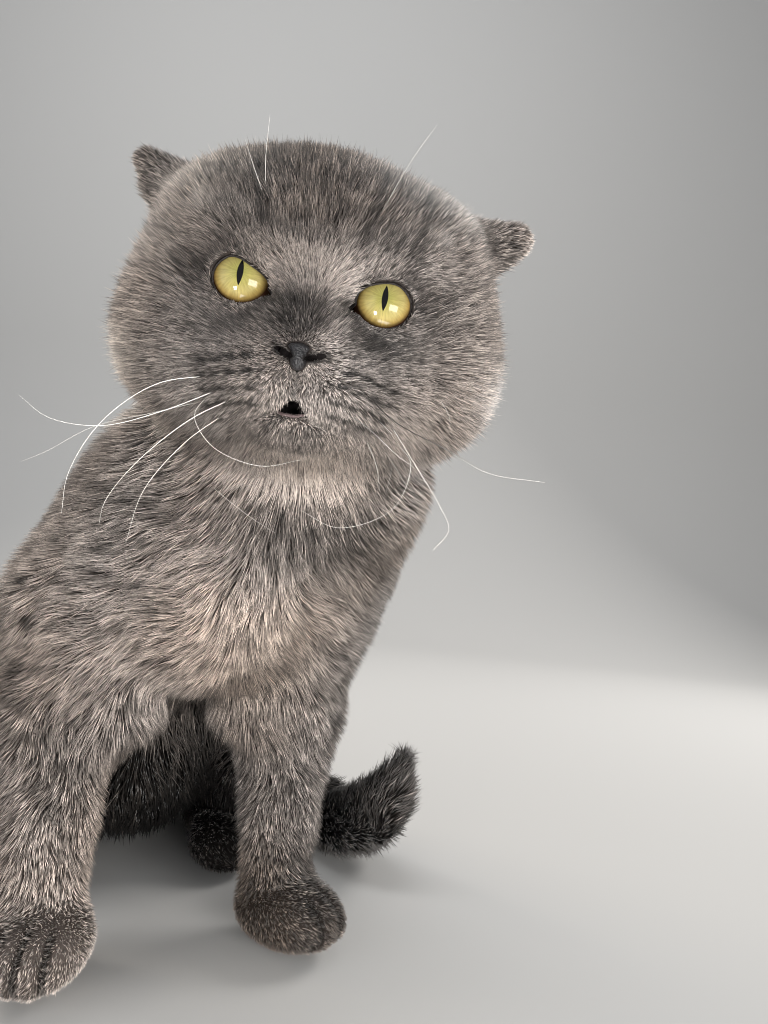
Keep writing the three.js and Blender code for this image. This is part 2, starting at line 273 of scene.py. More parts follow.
TAIL = np.array([
    [0, 128, 34], [48, 150, 22], [98, 118, 18], [114, 62, 18], [122, 12, 20], [128, -16, 40], [133, -25, 66],
], float)
TAIL_STEPS = 16
TAIL_THICK, TAIL_POINT = 21.0, 7.0


def curve_through(points, count):
    """Evenly spaced points on the centripetal curve through a few given ones."""
    ends = [2 * points[0] - points[1], *points, 2 * points[-1] - points[-2]]
    fine = []
    for p0, p1, p2, p3 in zip(ends, ends[1:], ends[2:], ends[3:]):
        k = [max(length_of(b - a) ** 0.5, 1e-6) for a, b in ((p0, p1), (p1, p2), (p2, p3))]
        m1 = ((p1 - p0) / k[0] - (p2 - p0) / (k[0] + k[1]) + (p2 - p1) / k[1]) * k[1]
        m2 = ((p2 - p1) / k[1] - (p3 - p1) / (k[1] + k[2]) + (p3 - p2) / k[2]) * k[1]
        for t in np.linspace(0, 1, 24, endpoint=False):
            h = [2 * t**3 - 3 * t**2 + 1, t**3 - 2 * t**2 + t, -2 * t**3 + 3 * t**2, t**3 - t**2]
            fine.append(h[0] * p1 + h[1] * m1 + h[2] * p2 + h[3] * m2)
    fine = np.array([*fine, points[-1]])
    gone = np.concatenate([[0], np.cumsum(length_of(np.diff(fine, axis=0)))])
    stops = np.linspace(0, gone[-1], count)
    return np.column_stack([np.interp(stops, gone, values) for values in fine.T])


TAIL_LINE = curve_through(TAIL, TAIL_STEPS + 1)


def tail_masses():
    share = np.linspace(0, 1, TAIL_STEPS + 1)
    thick = TAIL_THICK + (TAIL_POINT - TAIL_THICK) * ease(0.87, 1.05, share)
    coats = np.minimum(TAIL_COAT, thick * 0.45)
    return [
        limb("tail", TAIL_LINE[i], TAIL_LINE[i + 1], thick[i], thick[i + 1], 5, coats[i])
        for i in range(TAIL_STEPS)
    ]


MASSES = [
    *body_masses(), *head_masses(),
    *foreleg_masses(1), *foreleg_masses(-1), *hindleg_masses(1), *hindleg_masses(-1), *tail_masses(),
]
GROUPS = sorted({m.group for m in MASSES})


def join(a, b, k):
    h = np.maximum(k - np.abs(a - b), 0) / k
    return np.minimum(a, b) - h * h * k / 4


def cut(a, b, k):
    return -join(-a, b, k)


# The eyes' openings, in head coordinates. The brow's line cuts the top of each, lower on
# the nose's side, and lower on the right eye than on the left.
EYE_WIDE, EYE_HIGH = 9.1, 7.7
BROW_TOP = {1: 7.6, -1: 6.4}
BROW_SLOPE = {1: 0.30, -1: 0.47}
LID_THICK = 1.5


def eye_middle(s):
    return np.array([s * EYE_SPACING / 2, EYE_BACK, 0.0])


def opening(out, up, s):
    """Below zero inside the opening. out runs away from the nose."""
    almond = (np.hypot(out / EYE_WIDE, (up - 0.3) / EYE_HIGH) - 1) * EYE_HIGH
    corner = (np.hypot((out + 9.0) / 1.9, (up + 2.8) / 1.2) - 1) * 1.2
    brow = (up - BROW_TOP[s] - BROW_SLOPE[s] * out) / math.hypot(1, BROW_SLOPE[s])
    return cut(join(almond, corner, 1.2), -brow, 2.0)


def eye_edge(q, s):
    """Distance from an eye's opening seen from the front, and how far behind and above its middle."""
    x, y, z = (q - eye_middle(s)).T
    return opening(x * s, z, s), y, z


MOUTH_MIDDLE = np.array([0.0, -22.0, -38.6])
MOUTH_WIDE, MOUTH_HIGH = 5.6, 4.4
NOSE_MIDDLE = np.array([0.0, -22.0, -21.8])


def mouth_gap(q):
    """Below zero inside the small three-cornered gap of the mouth."""
    rise = (q[:, 2] - MOUTH_MIDDLE[2]) / MOUTH_HIGH
    half = MOUTH_WIDE * (1 - np.clip(rise, 0, 1)) * 0.9 + 0.3
    side = np.abs(q[:, 0]) - half
    tall = np.abs(rise - 0.5) * MOUTH_HIGH - MOUTH_HIGH / 2
    return np.maximum(side, tall)


def lip_line(q):
    """Distance from the line of the closed mouth, which curves down and back from the gap."""
    x = np.abs(q[:, 0])
    return np.hypot(q[:, 2] - MOUTH_MIDDLE[2] + 0.02 * x**2, np.maximum(x - 11, 0))


def philtrum(q):
    """Distance from the upright groove between the nose and the mouth."""
    below = np.maximum(MOUTH_MIDDLE[2] + MOUTH_HIGH - q[:, 2], 0)
    above = np.maximum(q[:, 2] - (NOSE_MIDDLE[2] - 4), 0)
    return np.sqrt(q[:, 0] ** 2 + below**2 + above**2)


def toe_grooves(points, s):
    """Distance from the nearest cleft between a forepaw's toes, and 1 where the toes are."""
    q = (points - PAWS[s]) @ turn_about("Z", math.radians(PAW_YAW[s]))
    spread = 1 - 0.012 * (q[:, 1] + 20)
    across = np.min([np.abs(q[:, 0] - x * spread) for x in (-9.0, 0.0, 9.0)], axis=0)
    toes = ease(-7, -15, q[:, 1]) * ease(34, 30, length_of(q))
    return across, toes


def lidded(d, q):
    """The lids stand as a thin shell on the eyeballs."""
    for s in (1, -1):
        d = join(d, length_of(q - eye_middle(s)) - EYE_RADIUS - LID_THICK, 5.0)
    return d


def carved(d, q):
    """The lids' openings, the mouth, the philtrum and the hollows under the ears' folds."""
    for s in (1, -1):
        edge, back, _ = eye_edge(q, s)
        d = cut(d, np.maximum(edge, back + 1.0), 0.8)
        d = cut(d, oval(q, EAR_HOLLOWS[s], [6, 7, 5]), 3.0)
        d = cut(d, nostril(q, s), 0.5)
    front = ease(-8, -12, q[:, 1])
    d = d + 1.2 * np.exp(-((lip_line(q) / 1.3) ** 2)) * front
    d = d + 1.0 * np.exp(-((philtrum(q) / 1.0) ** 2)) * front
    return cut(d, np.maximum(mouth_gap(q), q[:, 1] + 9), 0.8)


def nose_distance(q):
    """The nose leather: a bar above a column, between two slanting nostrils."""
    d = oval(q, [-0.3, -21.4, -19.3], [3.6, 3.3, 1.5])
    d = join(d, oval(q, [0, -22.6, -22.6], [2.5, 3.0, 3.5]), 1.6)
    for s in (1, -1):
        d = cut(d, nostril(q, s), 0.4)
    return d


def nostril(q, s):
    return oval(q, [s * 4.7, -23.0, -21.1], [3.5, 7.0, 0.8], turn_about("Y", -s * 0.40))


def outer_distance(points):
    """The skin before anything is carved into it."""
    d = np.full(len(points), 1e9)
    for m in MASSES:
        d = join(d, m.distance(points) + m.coat, m.blend)
    q = to_head(points)
    near = (length_of(q[:, [0, 2]]) < 60) & (q[:, 1] < 30)
    d[near] = lidded(d[near], q[near])
    return d


def skin_distance(points):
    d = outer_distance(points)
    q = to_head(points)
    near = length_of(q - [0, 20, 0]) < 110
    d[near] = carved(d[near], q[near])
    for s in (1, -1):
        across, toes = toe_grooves(points, s)
        d = d + 2.6 * np.exp(-((across / 1.4) ** 2)) * toes
    return np.maximum(d, 0.6 - points[:, 2])


def in_chunks(field, points, size=150_000):
    return np.concatenate([field(points[i:i + size]) for i in range(0, len(points), size)])


SLOPE_STEP = 0.15


def onto_surface(field, points, most):
    def change(shift):
        return in_chunks(field, points + shift) - in_chunks(field, points - shift)

    for _ in range(2):
        slope = np.column_stack([change(shift) for shift in np.eye(3) * SLOPE_STEP]) / (2 * SLOPE_STEP)
        size = np.maximum(length_of(slope), 0.2)
        step = np.clip(in_chunks(field, points) / size, -most, most)
        points = points - step[:, None] * slope / size[:, None]
    return points


CORNERS = np.array([[a, b, c] for a in (0, 1) for b in (0, 1) for c in (0, 1)])
CELL_EDGES = [(i, j) for i in range(8) for j in range(i + 1, 8) if np.abs(CORNERS[i] - CORNERS[j]).sum() == 1]


def at_corners(grid):
    """A grid's values at each of the eight corners of its cells."""
    x, y, z = np.array(grid.shape) - 1
    return [grid[a:x + a, b:y + b, c:z + c] for a, b, c in CORNERS]


def surface_net(field, low, high, cell, skip=4):
    """A closed mesh of a distance's zero surface, worked out finely only in blocks near it."""
    low = np.array(low, float)
    blocks = np.ceil((high - low) / (cell * skip)).astype(int)
    coarse = np.indices(blocks + 1).reshape(3, -1).T
    rough = in_chunks(field, low + coarse * cell * skip).reshape(blocks + 1)
    wanted = np.min([np.abs(part) for part in at_corners(rough)], axis=0) < cell * skip * 1.1
    value = np.where(rough < 0, -1.0, 1.0)[:-1, :-1, :-1]
    for axis in range(3):
        value, wanted = value.repeat(skip, axis), wanted.repeat(skip, axis)
    value, wanted = (np.pad(grid, ((0, 1),) * 3, "edge") for grid in (value, wanted))
    where = np.argwhere(wanted)
    value[tuple(where.T)] = in_chunks(field, low + where * cell)

    parts = at_corners(value)
    count = sum((part < 0).astype(int) for part in parts)
    cells = np.argwhere((count > 0) & (count < 8))
    v = np.stack([part[tuple(cells.T)] for part in parts], 1)
    total, crossings = np.zeros((len(cells), 3)), np.zeros(len(cells))
    for i, j in CELL_EDGES:
        hit = (v[:, i] < 0) != (v[:, j] < 0)
        t = v[hit, i] / (v[hit, i] - v[hit, j])
        total[hit] += CORNERS[i] + t[:, None] * (CORNERS[j] - CORNERS[i])
        crossings[hit] += 1
    points = low + (cells + total / crossings[:, None]) * cell

    index = np.full(parts[0].shape, -1)
    index[tuple(cells.T)] = np.arange(len(cells))
    faces = []
    for axis in range(3):
        b, c = np.roll(np.eye(3, dtype=int), -axis - 1, 0)[:2]
        spots = np.argwhere((value < 0) != (np.roll(value, -1, axis) < 0))
        inside = (spots > 0) | (np.arange(3) == axis)
        spots = spots[(inside & (spots < index.shape)).all(1)]
        quad = np.stack([index[tuple((spots - move).T)] for move in (b + c, c, 0 * b, b)], 1)
        flip = value[tuple(spots.T)] >= 0
        quad[flip] = quad[flip][:, ::-1]
        faces.append(quad)
    return points, np.concatenate(faces)


# Meshes and objects
def place_points(mesh, points):
    mesh.vertices.foreach_set("co", ((points + SHIFT) * MM).astype(np.float32).ravel())


def make_mesh(name, points, faces):
    """points in the cat's millimetres, faces as one array of triangles or quads."""
    mesh = bpy.data.meshes.new(name)
    mesh.vertices.add(len(points))
    place_points(mesh, points)
    sides = faces.shape[1]
    mesh.loops.add(faces.size)
    mesh.loops.foreach_set("vertex_index", faces.astype(np.int32).ravel())
    mesh.polygons.add(len(faces))
    mesh.polygons.foreach_set("loop_start", np.arange(0, faces.size, sides, dtype=np.int32))
    mesh.update(calc_edges=True)
    mesh.shade_smooth()
    return mesh


def add_object(name, mesh, finish, replaced=()):
    mesh.materials.append(finish)
    piece = bpy.data.objects.new(name, mesh)
    bpy.context.scene.collection.objects.link(piece)
    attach(piece, "root")
    if replaced:
        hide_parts(*replaced)


def points_of(mesh):
    return read(mesh.vertices, "co").astype(float) / MM - SHIFT


def read(items, field, kind=np.float32):
    """A field of three numbers of each vertex, normal or triangle."""
    values = np.empty(len(items) * 3, kind)
    items.foreach_get(field, values)
    return values.reshape(-1, 3)


def set_attribute(mesh, name, values):
    """values has a number, a vector or a colour for each point."""
    width = np.size(values) // len(mesh.vertices)
    kind, field = {1: ("FLOAT", "value"), 3: ("FLOAT_VECTOR", "vector"), 4: ("FLOAT_COLOR", "color")}[width]
    layer = mesh.attributes.new(name, kind, "POINT")
    layer.data.foreach_set(field, np.asarray(values, np.float32).ravel())


# Skin
SKIN_LOW, SKIN_HIGH = [-101, -194, -3], [164, 176, 324]
SKIN_CELL = 2.6


def fineness(points):
    """How many times the skin's cells are halved: most round the eyes, nose and mouth."""
    q = to_head(points)
    level = np.zeros(len(points), int)
    level[(np.abs(q[:, 0]) < 40) & (q[:, 1] < 12) & (np.abs(q[:, 2] + 12) < 36)] = 1
    for s in (1, -1):
        edge, back, _ = eye_edge(q, s)
        level[(np.abs(edge) < 3) & (back < 2) & (back > -20)] = 2
    mouth = length_of((q - MOUTH_MIDDLE) / [16, 10, 9]) < 1
    nose = length_of((q - NOSE_MIDDLE) / [12, 10, 12]) < 1
    level[mouth | nose] = 2
    for paw in PAWS.values():
        level[length_of((points - paw) / [30, 36, 24]) < 1] = 1
    return level


def refine(mesh, level):
    form = bmesh.new()
    form.from_mesh(mesh)
    if level == 1:
        bmesh.ops.triangulate(form, faces=form.faces[:])
    middles = np.array([(e.verts[0].co + e.verts[1].co) / 2 for e in form.edges]) / MM - SHIFT
    edges = [e for e, fine in zip(form.edges, fineness(middles)) if fine >= level]
    bmesh.ops.subdivide_edges(form, edges=edges, cuts=1, use_grid_fill=True)
    bmesh.ops.triangulate(form, faces=form.faces[:])
    form.to_mesh(mesh)
    form.free()
    points = points_of(mesh)
    near = fineness(points) >= 1
    points[near] = onto_surface(skin_distance, points[near], 1.2 / level)
    place_points(mesh, points)
    mesh.update()


def build_skin():
    points, quads = surface_net(skin_distance, SKIN_LOW, SKIN_HIGH, SKIN_CELL)
    points = onto_surface(skin_distance, points, SKIN_CELL / 2)
    mesh = make_mesh("skin", points, quads)
    refine(mesh, 1)
    refine(mesh, 2)
    return mesh


LIE_REACH = 6.0


def coat_at(points):
    """For points of the skin: the coat's depth, the lie of its fur, and the group it belongs to."""
    total, depth = np.zeros(len(points)), np.zeros(len(points))
    lie = np.zeros((len(points), 3))
    nearest, group = np.full(len(points), np.inf), np.zeros(len(points), int)
    for m in MASSES:
        d = m.distance(points) + m.coat
        closer = d < nearest
        nearest[closer] = d[closer]
        group[closer] = GROUPS.index(m.group)
        near = d < 40
        w = np.exp(-np.maximum(d[near], -10) / LIE_REACH)
        ways = m.lie(points[near]) if callable(m.lie) else m.lie
        total[near] += w
        depth[near] += w * m.coat
        lie[near] += w[:, None] * ways
    total = np.maximum(total, 1e-9)
    return depth / total, unit(lie / total[:, None]), group


# Waves and ruffles of the coat
def waves(points, length, seed, count=5):
    """Smooth noise from -1 to 1 with about the given length of wave."""
    pick = np.random.default_rng(seed)
    directions = unit(pick.normal(size=(count, 3)))
    lengths = length * pick.uniform(0.7, 1.5, count)
    phases = pick.uniform(0, 2 * math.pi, count)
    total = np.sin(points @ (directions * 2 * math.pi / lengths[:, None]).T + phases).sum(1)
    return total / math.sqrt(count) / 1.2


def head_nearness(points):
    """1 on the head and 0 on the body."""
    q = to_head(points)
    return ease(1.35, 1.0, length_of((q - [0, 30, -4]) / [84, 68, 66]))


def spot(q, centre, radii, soft=0.45):
    """1 inside an oval patch, fading to 0 outside it."""
    return ease(1 + soft, 1 - soft, length_of((q - centre) / radii))


FURROWS = [(-17.0, -0.2), (12.0, 0.2), (29.0, 0.1)]
PAD_ROWS, PAD_COLUMNS = (-24.0, -28.0, -32.0, -36.0), (13.0, 17.5, 22.0, 26.5)


# The face's markings in head coordinates, partly the fur's own marks and partly painted light and shade: the
# left cheek paler than the right is painted light, the dark spots at the eyes' inner corners are painted
# shade.
# Each has how much paler, the middle, the radii and the softness. The second list stands on both sides.
FACE_MARKS_AND_PAINTED_LIGHT = [
    (2.0, [-2, -12, 4], [15, 14, 6]), (-0.36, [0, 12, 44], [46, 30, 22]),
    (-0.55, [-2, -18, -10.5], [8, 8, 6.5]), (0.80, [8, -18, -14.5], [4.0, 6, 3.4]),
    (-0.50, [20, -11, -14], [10, 11, 7], 0.95), (-0.50, [38, -1, 4], [5, 6, 2]),
    (0.50, [50, 16, -36], [22, 30, 20]), (0.20, [-46, 12, -30], [24, 34, 20]),
    (-0.45, [0, -14, -45], [14, 12, 5.0]), (0.50, [3, -15, -40.5], [4, 5, 1.6]),
]
PAIRED_MARKS_AND_PAINTED_SHADE = [
    (0.7, [17, -8, 11], [9, 10, 3.5]), (-0.65, [12.5, -9, -5], [4.5, 9, 3.5], 0.8),
    (-0.30, [24, -6, -13], [14, 10, 5]),
]
WHISKER_ROOTS = [
    (-0.85, [x + 0.25 * (z + 30), -14, z - 0.18 * (x - 13)], [2.3, 30, 0.85])
    for z in PAD_ROWS for x in PAD_COLUMNS
]


def head_tones(q):
    """Lightness of the head's fur: marks that are partly painted light and shade, furrows, painted shade at
    the edges of the nose and mouth, pale ear rims.
    """
    x, y, z = q.T
    side = np.abs(x)
    mirrored = np.column_stack([side, y, z])
    tone = np.ones(len(q))
    for share, *mark in FACE_MARKS_AND_PAINTED_LIGHT:
        tone += share * spot(q, *mark)
    for share, *mark in PAIRED_MARKS_AND_PAINTED_SHADE + WHISKER_ROOTS:
        tone += share * spot(mirrored, *mark)
    for at, lean in FURROWS:
        line = np.abs(x - at - lean * (z - 14))
        tone -= 0.55 * ease(3.0, 0.3, line) * ease(8, 14, z) * ease(44, 26, z)
    # Painted shade along the nostrils' slits, in the philtrum's groove and along the line of the mouth.
    for s in (1, -1):
        tone -= 0.80 * ease(1.3, 0.4, np.abs(nostril(q, s))) * ease(9.5, 8.0, side)
    tone -= 0.45 * ease(1.6, 0.4, philtrum(q))
    tone -= 0.35 * ease(1.6, 0.4, lip_line(q)) * ease(14, 9, side) * (y < -8)
    ear = ease(60, 66, side) * ease(24, 28, z)
    rim = ease(71.0, 73.5, x) + ease(-72.5, -75, x) * ease(46, 40, z)
    return tone - 0.25 * ear + 2.0 * ear * np.clip(rim, 0, 1)


def tones(points):
    """The coat's markings, with painted light and shade among them: lightness and warmth at each place."""
    x, y, z = points.T
    q = to_head(points)
    on_head = head_nearness(points)
    tone = 1.0 + 0.12 * waves(points, 34, 3) + 0.12 * waves(points, 12, 4)
    warm = 0.32 + 0.15 * waves(points, 60, 5)
    tone *= 1 + on_head * (head_tones(q) - 1)
    warm += on_head * 0.2 * spot(q, [0, 10, 40], [50, 40, 24])
    # A pale patch under the chin: partly the throat's own paler fur, partly painted light on fur that lies in
    # the chin's shadow.
    pale_lit_throat = spot(q, [2, 10, -56], [36, 18, 8])
    bib = spot(points, [8, -98, 140], [34, 40, 26])
    collar = spot(points, [13, -121, 186], [38, 30, 11])
    right_shoulder = spot(points, [-56, -84, 150], [26, 40, 34])
    tone = 1.25 * tone + 3.6 * pale_lit_throat + 0.55 * bib - 0.50 * collar + 0.35 * right_shoulder
    warm += 0.20 * bib - 0.10 * pale_lit_throat
    ripples = (1 - on_head) * ease(60, 110, z) * waves(points * [0.5, 1, 1.6], 9, 21)
    tone *= 1 + (0.34 + 0.24 * right_shoulder) * ripples
    # Darker towards the bottom, with painted shade on the belly behind the forelegs.
    low = ease(115, 55, z) * ease(-45, -15, y)
    # Painted shade on the tail beside the left hind leg.
    tail = ease(92, 104, x) * ease(110, 80, z)
    tone *= (1 - 0.20 * ease(115, 85, z)) * (1 - 0.85 * low) * (1 - 0.93 * tail * (1 - low))
    left_paw = spot(points, PAWS[1] + [0, 0, 2], [34, 36, 24])
    right_paw = spot(points, PAWS[-1] + [0, 0, 10], [40, 50, 50])
    tone *= 1 - 0.50 * left_paw + 0.75 * right_paw
    # Painted shade in the clefts between the forepaws' toes.
    for s in (1, -1):
        across, toes = toe_grooves(points, s)
        tone *= 1 - 0.75 * toes * ease(2.2, 0.6, across)
    pastern = ease(60, 20, z) * ease(-20, -50, y)
    warm += 0.5 * pastern * ease(52, 42, x) * ease(20, 30, x)
    return np.clip(tone, 0.06, 3.6), np.clip(warm, 0, 1)


def bare_at(points):
    """1 where the skin has no fur: the lids' edges, the nose and the lips."""
    q = to_head(points)
    bare = np.zeros(len(points))
    for s in (1, -1):
        edge, back, _ = eye_edge(q, s)
        lid = ease(0.45, 0.1, edge) * (back < 0) * (back > -22)
        bare = np.maximum.reduce([bare, lid, ease(0.3, 0.0, nostril(q, s))])
    # The mouth's gap and the nostrils are bare places that are painted near black as shade.
    mouth = ease(0.8, 0.2, mouth_gap(q)) * (q[:, 1] < -6)
    return np.maximum.reduce([bare, mouth, ease(0.4, 0.1, nose_distance(q))])


# Tufts. For each group: how many for a square millimetre, how wide, how far the tip runs
# along the body for each millimetre that it stands off, and how wide a clump is.
Tufts = namedtuple("Tufts", "per_mm2 width run clump")
COATS = {
    "face": Tufts(8.2, 0.32, 1.15, 1.1),
    "head": Tufts(2.9, 0.46, 1.35, 1.8),
    "neck": Tufts(1.35, 0.58, 1.0, 2.6),
    "chest": Tufts(1.6, 0.58, 1.0, 2.6),
    "back": Tufts(0.60, 0.95, 1.6, 5.0),
    "belly": Tufts(0.40, 1.10, 1.6, 6.0),
    "rump": Tufts(0.50, 1.00, 1.6, 5.0),
    "tail": Tufts(0.80, 0.85, 1.6, 3.0),
}
for side in ("left", "right"):
    COATS[f"foreleg_{side}"] = Tufts(1.15, 0.54, 1.1, 2.2)
    COATS[f"hindleg_{side}"] = Tufts(0.60, 0.90, 1.6, 4.0)


class Roots(namedtuple("Roots", "at normal lie depth group detail")):
    """Where tufts stand on the skin, with what the coat is like there."""

    def only(self, chosen):
        return Roots(*(part[chosen] for part in self))


def detail_at(points, depth):
    """How much finer than usual the coat is: most on the face and the paws, least behind."""
    q = to_head(points)
    on_head = head_nearness(points)
    head = 0.5 + 1.3 * ease(48, 22, q[:, 1])
    body = 0.7 + 0.7 * ease(-10, -60, points[:, 1])
    short = 1 + 0.8 * ease(2.2, 1.0, depth)
    return (body + (head - body) * on_head) * short


def scatter(mesh, depth, lie, group):
    points = points_of(mesh)
    normals = read(mesh.vertex_normals, "vector").astype(float)
    mesh.calc_loop_triangles()
    faces = read(mesh.loop_triangles, "vertices", np.int32)
    a, b, c = (points[faces[:, i]] for i in range(3))
    area = length_of(np.cross(b - a, c - a)) / 2
    face_group = group[faces[:, 0]]
    detail = detail_at(points, depth)[faces].mean(1)
    density = np.array([COATS[g].per_mm2 for g in GROUPS])
    total = np.cumsum(area * density[face_group] * detail)
    count = int(total[-1])
    picked = np.searchsorted(total, (np.arange(count) + random.uniform(size=count)) / count * total[-1])
    picked = np.minimum(picked, len(faces) - 1)
    u, v = random.uniform(size=(2, count))
    over = u + v > 1
    u[over], v[over] = 1 - u[over], 1 - v[over]
    share = np.column_stack([1 - u - v, u, v])[:, :, None]
    corner = faces[picked]
    at, normal, way_there, deep = (
        (values[corner] * share).sum(1) for values in (points, normals, lie, depth[:, None]))
    roots = Roots(at, unit(normal), way_there, deep[:, 0], face_group[picked], detail[picked])
    furred = (bare_at(roots.at) < 0.5) & ((roots.at[:, 2] > 1.6) | (roots.normal[:, 2] > -0.5))
    return roots.only(furred)


def fur_length(roots):
    """The coat's depth with the short fur round the eyes, nose, lips and toes."""
    q = to_head(roots.at)
    depth = roots.depth.copy()
    for s in (1, -1):
        edge, back, _ = eye_edge(q, s)
        front = (back < 6) & (back > -24)
        depth = np.where(front, depth * (0.4 + 0.6 * ease(0, 8, edge)), depth)
        across, toes = toe_grooves(roots.at, s)
        depth = depth * (1 - 0.55 * toes * ease(2.5, 0.5, across))
        depth += 4.0 * spot(q, EAR_HOLLOWS[s], [7, 8, 6])
    depth *= 0.3 + 0.7 * ease(0, 13, nose_distance(q))
    lips = np.where(q[:, 1] < -8, lip_line(q), 99)
    depth *= 0.5 + 0.5 * ease(1.0, 5.0, lips)
    return depth


def clumped(at, spacing):
    """For each root, the index of the root in the middle of its clump."""
    order = random.permutation(len(at))
    cells = {}
    for i in order:
        cells.setdefault(tuple(np.floor(at[i] / spacing).astype(int)), i)
    middles = list(cells.values())
    tree = kdtree.KDTree(len(middles))
    for k, i in enumerate(middles):
        tree.insert(at[i], k)
    tree.balance()
    return np.array([middles[tree.find(p)[1]] for p in at])


def face_margin(points):
    """How far a point of the face is from the eyes, the nose leather and the mouth's gap."""
    q = to_head(points)
    margin = np.minimum(nose_distance(q), mouth_gap(q))
    for s in (1, -1):
        edge, _, up = eye_edge(q, s)
        brow = 1.5 * ease(1, 5, up)
        margin = np.minimum.reduce([margin, edge + brow, nostril(q, s)])
    return margin


# How far tufts keep from bare places, in millimetres
CLEAR = 0.15


def clear_share(start, tip):
    """How much of each tuft may stay so that none crosses an eye, the nose or the mouth."""
    q = to_head(start)
    near = (np.abs(q[:, 0]) < 46) & (q[:, 1] < 8) & (np.abs(q[:, 2] + 14) < 42)
    share = np.ones(len(start))
    root, end = face_margin(start[near]), face_margin(tip[near])
    crossing = np.clip((root - CLEAR) / np.maximum(root - end, 1e-6), 0.15, 1)
    share[near] = np.where(end < CLEAR, crossing, 1.0)
    return share


Grown = namedtuple("Grown", "root tip normal width tone warm")


def grow(roots):
    at, normal, lie, skin_depth, group, detail = roots
    kinds = [COATS[g] for g in GROUPS]
    count = len(at)
    width = np.array([kind.width for kind in kinds])[group] / np.sqrt(detail)
    width *= random.uniform(0.6, 1.35, count)
    on_head = head_nearness(at)
    trunk = (1 - ease(4.5, 2.5, skin_depth)) * (1 - on_head)
    depth = fur_length(roots)

    along = unit(lie - (lie * normal).sum(1)[:, None] * normal)
    sway = (0.15 + 0.30 * trunk) * waves(at, 24, 11) + (0.12 + 0.16 * trunk) * waves(at, 8, 12)
    sway += random.normal(0, 0.26, count)
    along = unit(along + sway[:, None] * np.cross(normal, along))
    ruffle = 1 + 0.35 * waves(at, 15, 13) * trunk + random.normal(0, 0.10, count)
    stray = random.uniform(size=count) < 0.04
    height = depth * np.clip(ruffle, 0.45, 1.4) * random.uniform(0.6, 1.0, count)
    height *= np.where(stray, 1.35 + 0.5 * on_head, 1.0)
    length = depth * np.array([kind.run for kind in kinds])[group] * random.uniform(0.8, 1.2, count)
    share = clear_share(at, at + along * length[:, None] + normal * height[:, None])
    length, height = length * share, height * np.sqrt(share)

    tip = at + along * length[:, None]
    middle = np.empty(count, int)
    for g, kind in enumerate(kinds):
        ours = np.flatnonzero(group == g)
        middle[ours] = ours[clumped(at[ours], kind.clump)]
    gather = (tip[middle] - tip) * np.where(stray, 0.0, 0.40)[:, None]
    gather -= (gather * normal).sum(1)[:, None] * normal
    tip += gather * np.minimum(1, 0.4 * length / np.maximum(length_of(gather), 1e-6))[:, None]
    off = height - in_chunks(outer_distance, tip)
    tip = tip + normal * np.clip(off, -0.5 * length, 0.6 * length + 2.0)[:, None]

    tone, warm = tones(at)
    strand = (0.70 + 0.28 * on_head) * random.normal(size=count)
    clump = 0.25 * random.normal(size=count)[middle]
    tone = np.clip(tone * np.exp(strand + clump - 0.22 - 0.08 * on_head), 0.04, TONE_TOP)
    return Grown(at - normal * 0.4, tip, normal, width, tone, warm)


SPIKE_POINTS = 4
PATCH = 0.003
SPIKE_FACES = np.array([[2, 1, 0], [0, 1, 3], [1, 2, 3], [2, 0, 3]])
SPIKE_ALONG, SPIKE_ACROSS = np.array([0.0, 0.0, 0.0, 1.0]), np.array([1.0, 0.5, 0.0, 0.5])


def spikes(grown, chosen):
    """Closed three-sided tufts as one array of points and one of triangles."""
    root, tip, normal, width, _, _ = (part[chosen] for part in grown)
    heading = unit(tip - root)
    side = unit(np.cross(normal, heading))
    s, u = side * width[:, None] / 2, np.cross(heading, side) * width[:, None] / 2
    points = np.stack([root + s - u * 0.3, root + u * 0.7, root - s - u * 0.3, tip], 1).reshape(-1, 3)
    points[:, 2] = np.maximum(points[:, 2], 0.05)
    faces = (np.arange(len(root))[:, None, None] * SPIKE_POINTS + SPIKE_FACES).reshape(-1, 3)
    return points, faces


def unwrapped(points, group):
    """The skin's own unwrap: round the head's middle, or round the length of a limb or trunk."""
    if group in ("head", "face"):
        q = to_head(points) - ([0, 30, -4] if group == "head" else [0, 14, -12])
        u = np.arctan2(q[:, 0], -q[:, 1])
        v = np.arctan2(q[:, 2], np.hypot(q[:, 0], q[:, 1]))
    elif group == "tail":
        near = length_of(points[:, None] - TAIL_LINE).argmin(1)
        rel = points - TAIL_LINE[near]
        u = np.arctan2(rel[:, 2], rel[:, 0] * 0.7 + rel[:, 1] * 0.7)
        v = near + (rel * unit(np.gradient(TAIL_LINE, axis=0))[near]).sum(1) / 25
    else:
        mid = points.mean(0)
        u = np.arctan2(points[:, 0] - mid[0], mid[1] - points[:, 1])
        v = points[:, 2]
    spread = [(w - w.min()) / max(np.ptp(w), 1e-6) * 0.98 + 0.01 for w in (u, v)]
    return np.column_stack(spread)


def coat_pieces(roots):
    """The name, the group and the tufts of each piece of the coat."""
    x, y, _ = to_head(roots.at).T
    for g, group in enumerate(GROUPS):
        ours = roots.group == g
        left = (x if group in ("head", "face", "neck") else roots.at[:, 0]) > 0
        whole = group == "tail" or "leg" in group
        parts = {"": ours} if whole else {"_left": ours & left, "_right": ours & ~left}
        for word, part in parts.items():
            ends = {"_front": y < 26, "_back": y >= 26} if group == "head" else {"": True}
            for end, half in ends.items():
                yield f"coat_{group}{word}{end}", group, np.flatnonzero(part & half)


